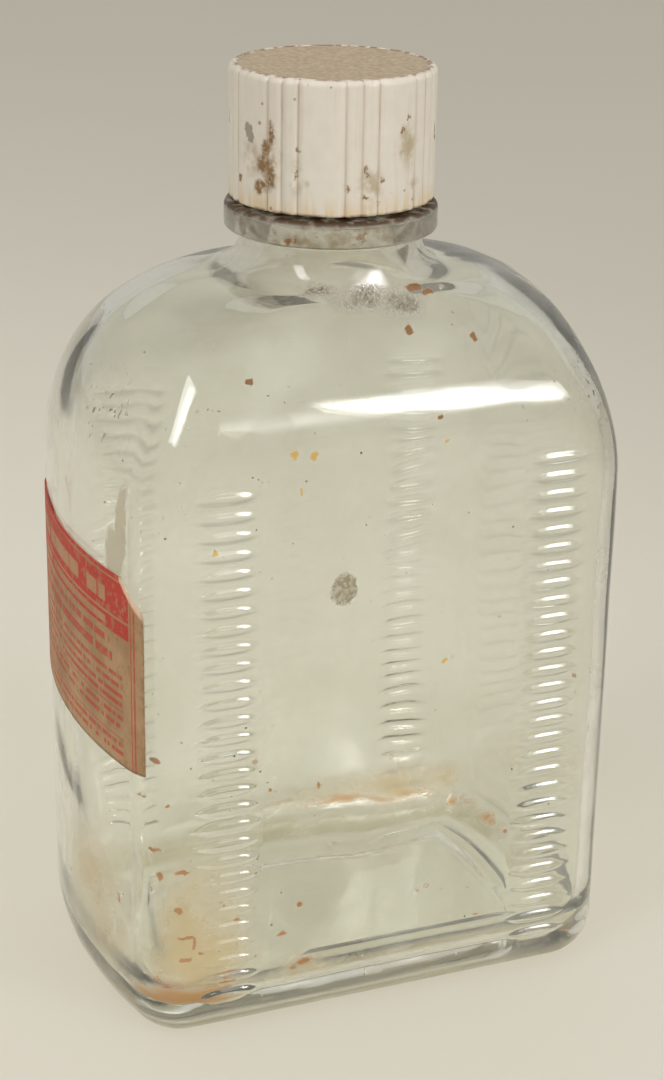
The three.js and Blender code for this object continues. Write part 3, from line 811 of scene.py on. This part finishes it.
def glass_dirt(n, place, inside):
    """Stains (mask, share, colour), covers (mask, how much light it stops) and the mask of the scuffs near
    the base.
    """
    x, y, z = n.separate(place)
    radius = n.round_distance(x, y)
    outside = n.math("SUBTRACT", 1.0, inside)
    ragged = n.ragged(place, 900, 1.6)
    torn = n.ragged(place, 260, 5)
    fine = n.noise(place, 1500, 4)

    def cloudy(scale, low, high, least=0.0, detail=5):
        return n.ease(n.noise(place, scale, detail), low, high, least, 1)

    worn = n.both(n.ease(z, 8 * MM, 2 * MM), n.ease(z, 0.3 * MM, 1 * MM), outside)
    scuffs_and_painted_shade = n.both(worn, cloudy(180, 0.25, 0.6, 0.6))
    speckled = n.patches(place, SPECKLED_SHOULDERS, 0.2)
    by_height = n.both(n.ease(z, 112 * MM, 122 * MM), n.ease(z, 129.5 * MM, 128 * MM))
    neck_haze = n.both(by_height, n.ease(radius, 30 * MM, 17 * MM))
    haze = n.both(n.most(neck_haze, n.both(speckled, 0.8)), cloudy(140, 0.25, 0.65, 0.4), outside)

    thin = n.both(n.patches(torn, RESIDUE_THIN, 0.2), cloudy(90, 0.25, 0.6, 0.45), inside)
    thick = n.both(n.patches(torn, RESIDUE_INSIDE, 0.35), cloudy(130, 0.25, 0.5, 0.7, 4), inside)
    dried = n.ease(n.noise(n.scaled(place, (0.4, 1, 1)), 260, 5), 0.4, 0.6, 0.15, 1)
    tide = n.both(n.patches(n.ragged(place, 90, 6), TIDE_LINE, 0.3), dried, inside)

    on_bead = n.both(n.ease(z, 128.2 * MM, 128.7 * MM), n.ease(radius, 16 * MM, 16.6 * MM))
    bead_film = n.both(on_bead, n.ease(n.noise(place, 260, 5, 0.65), 0.4, 0.7, 0.3, 1))
    bead_rust = n.both(on_bead, n.ease(n.noise(place, 300, 6, 0.65), 0.56, 0.66))
    glue = n.both(n.patches(ragged, LABEL_GLUE, 0.7), outside)
    spot = n.both(n.patches(ragged, [DRIED_SPOT], 0.86), cloudy(1900, 0.3, 0.6, 0.6, 3), outside)
    dusty = n.both(n.patches(torn, SHOULDER_DIRT, 0.2), cloudy(2600, 0.3, 0.62, 0.35), outside)
    flakes = n.both(n.patches(ragged, RUST_FLAKES, 0.7), outside)
    yellow = n.both(n.patches(ragged, YELLOW_FLAKES, 0.7), outside)

    dots = n.ease(n.cells(place, 130), 0.075, 0.055)
    low_down = n.ease(z, 75 * MM, 35 * MM, 0.2, 1)
    strewn = n.both(dots, cloudy(70, 0.5, 0.56, detail=2), low_down, inside)
    marks = n.most(n.both(n.patches(ragged, RESIDUE_MARKS, 0.7), inside), strewn)
    # Dark brown band over the top of the bead and the finish up under the cap's skirt.
    crown = n.both(n.ease(z, 131.2 * MM, 132.3 * MM), n.ease(z, 139 * MM, 134 * MM))
    dark_band_at_cap = n.both(crown, n.ease(radius, 11.8 * MM, 12.4 * MM), cloudy(500, 0.3, 0.55, 0.55))
    fleck = n.ease(n.noise(n.scaled(place, (1, 1, 0.45)), 1100, 2), 0.63, 0.67)
    specks = n.both(speckled, fleck, outside)
    dust = n.both(n.ease(n.cells(place, 310), 0.07, 0.05), cloudy(60, 0.45, 0.6, detail=3), outside)

    stains = [
        (scuffs_and_painted_shade, 0.9, colour(176, 166, 124)),
        (haze, 0.5, colour(206, 196, 172)),
        (thin, 0.85, colour(200, 166, 84)),
        (n.most(thick, tide), 0.95, colour(198, 138, 40)),
        (bead_film, 0.9, colour(134, 112, 70)),
        (glue, 0.7, colour(176, 158, 122)),
        (spot, 1.0, colour(146, 134, 106)),
        (dusty, 1.0, n.mix(fine, colour(118, 104, 78), colour(82, 70, 48))),
        (n.most(bead_rust, flakes), 1.0, n.mix(fine, colour(158, 108, 52), colour(96, 64, 32))),
        (yellow, 1.0, colour(206, 168, 96)),
        (marks, 1.0, n.mix(fine, colour(198, 130, 50), colour(150, 88, 30))),
        (dark_band_at_cap, 1.0, n.mix(fine, colour(48, 30, 14), colour(88, 62, 36))),
        (n.most(specks, dust), 1.0, colour(92, 80, 60)),
    ]
    covers = [
        (scuffs_and_painted_shade, 0.4),
        (haze, 0.16),
        (thin, 0.6),
        (thick, 0.95),
        (tide, 0.85),
        (bead_film, 0.42),
        (glue, 0.42),
        (spot, 0.75),
        (dusty, 0.75),
        (n.most(n.both(bead_rust, 0.75), flakes, yellow, marks), 0.85),
        (n.most(dark_band_at_cap, specks, dust), 0.95),
    ]
    return stains, covers, scuffs_and_painted_shade


def glass_material():
    n = Nodes("clear_glass")
    place = n.place()
    broad = n.noise(place, 45, 5, 0.6, 0.5)
    stains, covers, scuffs_and_painted_shade = glass_dirt(n, place, n.attribute("inside"))
    tint = CLEAR_TINT
    for mask, share, shade in stains:
        tint = n.mix(n.both(mask, share), tint, shade)
    body = n.ease(broad, 0.4, 0.75, 0.01, 0.1)
    for mask, opacity in covers:
        body = n.most(body, n.both(mask, opacity))
    smears = n.ease(broad, 0.4, 0.8, 0.0, 0.07)
    n.set(Base_Color=tint, Transmission_Weight=n.math("SUBTRACT", 1.0, body), IOR=1.5)
    n.set(Roughness=n.most(smears, n.both(body, 0.6), n.both(scuffs_and_painted_shade, 0.12)))
    n.let_lamps_through(LAMPLIGHT_TINT)
    return n.material


def on_cap(angle, z, half_width, half_height):
    """A spot on the side of the cap, at a polar angle in degrees."""
    t = math.radians(angle)
    centre = (CAP_RADIUS * math.cos(t), CAP_RADIUS * math.sin(t), z)
    return centre, (half_width, half_width, half_height)


def cap_material():
    n = Nodes("ivory_plastic")
    place = n.place()
    x, y, z = n.separate(place)
    radius = n.round_distance(x, y)
    ragged = n.ragged(place, 1100, 1.8)
    fine = n.noise(place, 1400, 5)
    mottle = n.noise(place, 420, 4)
    streak = n.noise(n.scaled(place, (1, 1, 0.06)), 900, 4)

    brown = [
        on_cap(-151.5, 140.6, 1.9, 2.1),
        on_cap(-150, 143, 1.2, 1.8),
        on_cap(-146.6, 145.2, 0.9, 2.6),
        on_cap(-147.5, 139, 1.4, 3.4),
        on_cap(-154, 137, 1.6, 1.6),
        on_cap(-147.5, 147.4, 0.5, 0.7),
        on_cap(-130.4, 143.5, 0.45, 0.5),
        on_cap(-131.2, 139.3, 0.5, 1.5),
        on_cap(-92.8, 140.5, 0.6, 1),
        on_cap(-91.8, 139.8, 0.4, 0.7),
        on_cap(-83.4, 138.6, 0.6, 0.8),
        on_cap(-93.6, 136.3, 0.7, 0.6),
        on_cap(-85.4, 135.3, 0.4, 0.7),
        on_cap(-103.8, 137.8, 0.45, 0.8),
        on_cap(-66.6, 147.8, 0.35, 1),
        on_cap(-70.4, 146, 0.7, 0.4),
        on_cap(-34, 144, 0.7, 2),
        on_cap(-12, 139, 1.1, 1.6),
        on_cap(28, 146, 0.8, 1.2),
        on_cap(75, 138, 1, 1.8),
        on_cap(128, 142, 0.7, 1.5),
        on_cap(168, 146, 0.6, 2),
        on_cap(-172, 137.5, 0.9, 0.9),
    ]
    olive = [
        on_cap(-125.4, 138.8, 0.9, 1.3),
        on_cap(-70.6, 142.7, 2, 0.6),
        on_cap(-69, 145, 1.8, 2.6),
        on_cap(-104, 137.5, 1, 1.4),
        on_cap(-62, 137.6, 1.8, 1),
        on_cap(-161, 141, 3, 4),
        on_cap(-146, 141, 2.2, 6),
        on_cap(-131, 139, 1.4, 4),
        on_cap(-90, 138, 3, 4),
        on_cap(-66, 143.5, 3, 4.6),
        on_cap(50, 141, 2.4, 2.2),
        on_cap(110, 148, 1.6, 2.4),
    ]
    grey = [on_cap(-164, 145.4, 1, 1.3), on_cap(-161, 144.3, 0.9, 1.2)]

    shade = n.mix(mottle, colour(220, 213, 203), colour(208, 199, 186))
    shade = n.mix(n.ease(streak, 0.52, 0.75, 0, 0.25), shade, colour(192, 174, 148))
    low = n.ease(z, 137 * MM, 133.5 * MM, 0, 0.55)
    shade = n.mix(n.both(low, n.ease(streak, 0.35, 0.6)), shade, colour(204, 174, 116))
    smears = n.both(n.patches(ragged, olive, 0.1), n.ease(mottle, 0.35, 0.6), 0.7)
    shade = n.mix(smears, shade, colour(158, 140, 100))
    shade = n.mix(n.both(n.patches(ragged, grey, 0.8), 0.75), shade, colour(126, 114, 92))
    blotch = n.both(n.patches(ragged, brown, 0.45), n.ease(fine, 0.3, 0.55, 0.35, 1))
    dots = n.both(n.ease(n.cells(place, 420), 0.16, 0.1), n.ease(n.noise(place, 160, 3), 0.56, 0.62))
    rust = n.mix(mottle, colour(154, 120, 78), colour(100, 76, 46))
    shade = n.mix(n.most(blotch, n.both(dots, 0.7)), shade, rust)
    # Painted shade: the deeper parts of the grooves darkened to brown, unevenly along the streak noise.
    painted_groove_shade = n.both(n.ease(n.attribute("groove"), 0.4, 0.95), n.ease(streak, 0.3, 0.7, 0.15, 0.7))
    shade = n.mix(painted_groove_shade, shade, colour(160, 134, 98))
    foot = n.both(n.ease(z, 133.9 * MM, 133.45 * MM), n.ease(mottle, 0.35, 0.6), 0.8)
    shade = n.mix(foot, shade, colour(110, 82, 54))

    top = n.ease(z, 153.7 * MM, 153.85 * MM)
    disc_edge = n.math("ADD", radius, n.both(n.math("SUBTRACT", fine, 0.5), 1.1 * MM))
    on_disc = n.both(top, n.ease(disc_edge, 15.15 * MM, 14.75 * MM))
    rough_top = n.mix(n.ease(fine, 0.3, 0.7), colour(182, 166, 142), colour(160, 142, 118))
    shade = n.mix(on_disc, shade, rough_top)
    # Painted shade: a dark brown ring, broken up by noise, where the rounded rim meets the recessed top disc.
    ring = n.both(n.ease(disc_edge, 14.6 * MM, 15 * MM), n.ease(disc_edge, 15.9 * MM, 15.35 * MM))
    rim = n.both(ring, n.ease(z, 153.2 * MM, 153.6 * MM))
    scuffs_and_painted_shade = n.both(rim, n.ease(n.noise(place, 520, 3), 0.42, 0.56))
    shade = n.mix(n.both(scuffs_and_painted_shade, 0.85), shade, colour(132, 96, 66))

    grain = n.math("ADD", n.both(fine, n.math("ADD", n.both(on_disc, 1.0), 0.04)), n.both(blotch, 0.15))
    n.bump(grain, 0.5, 0.25 * MM)
    polish = n.ease(mottle, 0.3, 0.7, 0.34, 0.48)
    n.set(Base_Color=shade, Roughness=n.most(polish, n.both(on_disc, 0.85), n.both(blotch, 0.75)), IOR=1.5)
    return n.material


def disc_material(name, first, second, roughness, scale):
    """Flecked board or waxed paper, marked by the ring where the bottle's lip presses on it."""
    n = Nodes(name)
    place = n.place()
    x, y, _ = n.separate(place)
    radius = n.round_distance(x, y)
    fibre = n.noise(n.scaled(place, (1, 0.35, 1)), scale, 6, 0.7)
    pressed = n.both(n.ease(radius, 9.4 * MM, 9.9 * MM), n.ease(radius, 13 * MM, 12.5 * MM))
    shade = n.mix(n.ease(fibre, 0.35, 0.65), first, second)
    stain = n.both(pressed, n.ease(n.noise(place, 150, 4), 0.4, 0.65), 0.5)
    n.set(Base_Color=n.mix(stain, shade, colour(150, 120, 78)))
    n.set(Roughness=n.ease(fibre, 0.3, 0.7, roughness, roughness + 0.1))
    n.bump(fibre, 0.4, 0.1 * MM)
    return n.material


def label_material():
    n = Nodes("label_paper")
    spread = n.tree.nodes.new("ShaderNodeUVMap")
    spread.uv_map = "millimetres"
    across, up, _ = n.separate(spread.outputs[0])
    place = n.place()
    wear = n.noise(place, 700, 5)
    blotches = n.noise(place, 110, 5)

    def band(value, low, high, soft=0.08):
        return n.both(n.ease(value, low - soft, low + soft), n.ease(value, high + soft, high - soft))

    def dashes(bottom, height, start, end, length, seed):
        """A row of plain bars of uneven length."""
        along = n.tree.nodes.new("ShaderNodeCombineXYZ")
        n.put(n.math("MULTIPLY", across, 1 / length), along.inputs["X"])
        along.inputs["Y"].default_value = seed
        gaps = n.ease(n.noise(along.outputs[0], 1, 0), 0.36, 0.42)
        return n.both(band(up, bottom, bottom + height), band(across, start, end), gaps)

    paper = n.mix(n.ease(blotches, 0.35, 0.65), colour(178, 144, 108), colour(156, 122, 88))
    paper = n.mix(n.both(n.ease(wear, 0.55, 0.7), 0.4), paper, colour(126, 96, 68))
    header = n.both(n.ease(up, 22.2, 22.4), n.ease(across, 24.1, 23.9))
    bars = [
        band(up, 31.35, 31.6),
        band(up, 24.9, 25.3),
        dashes(26.6, 2.6, -21, 17, 3.4, 3.7),
        dashes(22.95, 1.3, -20, 17, 2.6, 9.2),
    ]
    lines = [band(across, 24.35, 24.6, 0.06), band(across, 25.0, 25.35, 0.06)]
    lines += [n.both(band(up, v, v + 0.16), band(across, -23, 22.3)) for v in (9.4, 4.6)]
    lines += [
        dashes(19.9, 1.2, -20, 18, 1.1, 1.3),
        dashes(17.2, 1.5, -20, 19, 1.7, 5.1),
        *[dashes(v, 0.75, -22, 22, 0.9, v * 3.1) for v in (14.9, 13.3, 11.7, 10.2, 7.9, 6.3, 3.2, 1.7)],
    ]
    printed = n.both(header, n.math("SUBTRACT", 1.0, n.both(n.most(*bars), 0.85)))
    printed = n.both(n.most(printed, n.both(n.most(*lines), 0.8)), n.ease(wear, 0.62, 0.5, 0.45, 1))
    red = n.mix(blotches, colour(190, 62, 46), colour(170, 52, 40))
    shade = n.mix(printed, paper, red)
    torn = n.math("ADD", up, n.math("MULTIPLY", n.math("SUBTRACT", across, 21.9), TEAR_SLOPE))
    torn = n.math("ADD", torn, n.both(n.math("SUBTRACT", wear, 0.5), 1.2))
    fibres = n.both(n.ease(torn, 31.1, 31.5), n.ease(across, 21.2, 21.8))
    shade = n.mix(fibres, shade, n.mix(wear, colour(226, 196, 170), colour(206, 160, 134)))
    edge = n.most(n.ease(up, 0.5, 0.1), n.ease(across, 26.3, 26.9))
    shade = n.mix(n.both(edge, n.ease(wear, 0.35, 0.6), 0.5), shade, colour(112, 92, 70))
    n.bump(n.math("ADD", wear, n.both(fibres, 0.8)), 0.5, 0.08 * MM)
    n.set(Base_Color=shade, Roughness=n.ease(wear, 0.3, 0.7, 0.62, 0.85))
    return n.material


# ---- Studio, in metres, degrees and watts ------------------------------------------------

LAMP_DISTANCE, LAMP_AIM = 1.5, Vector((0, 0, 0.08))
BOUNCES, CLEAR_BOUNCES = 20, 24


def soft_box(name, azimuth, elevation, width, height, spread, watts):
    """Rectangular lamp aimed at the bottle, fading to its beam's edges; azimuth 0 is straight in front."""
    a, e = math.radians(azimuth), math.radians(elevation)
    way = Vector((math.sin(a) * math.cos(e), -math.cos(a) * math.cos(e), math.sin(e)))
    data = bpy.data.lights.new(name, "AREA")
    data.shape = "RECTANGLE"
    data.size, data.size_y = width, height
    data.energy = watts
    data.spread = math.radians(spread)
    lamp = bpy.data.objects.new(name, data)
    lamp.location = LAMP_AIM + way * LAMP_DISTANCE
    lamp.rotation_euler = way.to_track_quat("Z", "Y").to_euler()
    bpy.context.scene.collection.objects.link(lamp)


def studio():
    world = bpy.data.worlds.new("world")
    bpy.context.scene.world = world
    world.use_nodes = True
    world.node_tree.nodes["Background"].inputs["Color"].default_value = (1, 0.975, 0.885, 1)
    world.node_tree.nodes["Background"].inputs["Strength"].default_value = 0.54
    soft_box("key", azimuth=32, elevation=31, width=0.38, height=0.8, spread=30, watts=0.3)
    soft_box("key_heart", azimuth=31, elevation=32, width=0.22, height=0.6, spread=26, watts=0.12)
    soft_box("fill", azimuth=19, elevation=28, width=0.24, height=0.7, spread=26, watts=0.035)
    soft_box("side", azimuth=-62, elevation=48, width=0.3, height=1.1, spread=120, watts=3.6)
    bpy.ops.mesh.primitive_plane_add(size=8)
    floor = bpy.context.object
    floor.name = "floor"
    floor.location.z = -0.05 * MM
    n = Nodes("pale_floor")
    shade = n.noise(n.place(), 3, 3)
    n.set(Base_Color=n.mix(shade, colour(224, 219, 208), colour(218, 213, 201)), Roughness=0.6)
    floor.data.materials.append(n.material)
    scene = bpy.context.scene
    scene.view_settings.view_transform = "Standard"
    scene.cycles.max_bounces = BOUNCES
    scene.cycles.transmission_bounces = BOUNCES
    scene.cycles.transparent_max_bounces = CLEAR_BOUNCES


# ---- Assembly ----------------------------------------------------------------------------


def finish_piece(piece, material, body, slot, *nodes):
    piece.data.materials.append(material)
    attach(piece, body)
    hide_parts(*nodes)


place_camera()
studio()
finish_piece(glass_bottle(), glass_material(), "bottle", "clear_glass", "glass_bottle")
finish_piece(screw_cap(), cap_material(), "cap", "ivory_plastic", "screw_cap")
pulp = disc_material("pulpboard", colour(160, 138, 105), colour(128, 106, 78), 0.85, 400)
waxed = disc_material("waxed_facing", colour(220, 212, 190), colour(196, 184, 158), 0.32, 200)
backing = disc("liner_pulpboard", BACKING_LOW, BACKING_HIGH, 0.15)
finish_piece(backing, pulp, "liner", "pulpboard", "liner_backing")
facing = disc("liner_waxed_face", FACING_LOW, FACING_HIGH, 0.1, 0.15)
finish_piece(facing, waxed, "liner", "waxed_facing", "liner_facing")
finish_piece(paper_label(), label_material(), "bottle", "label_paper", "paper_label")
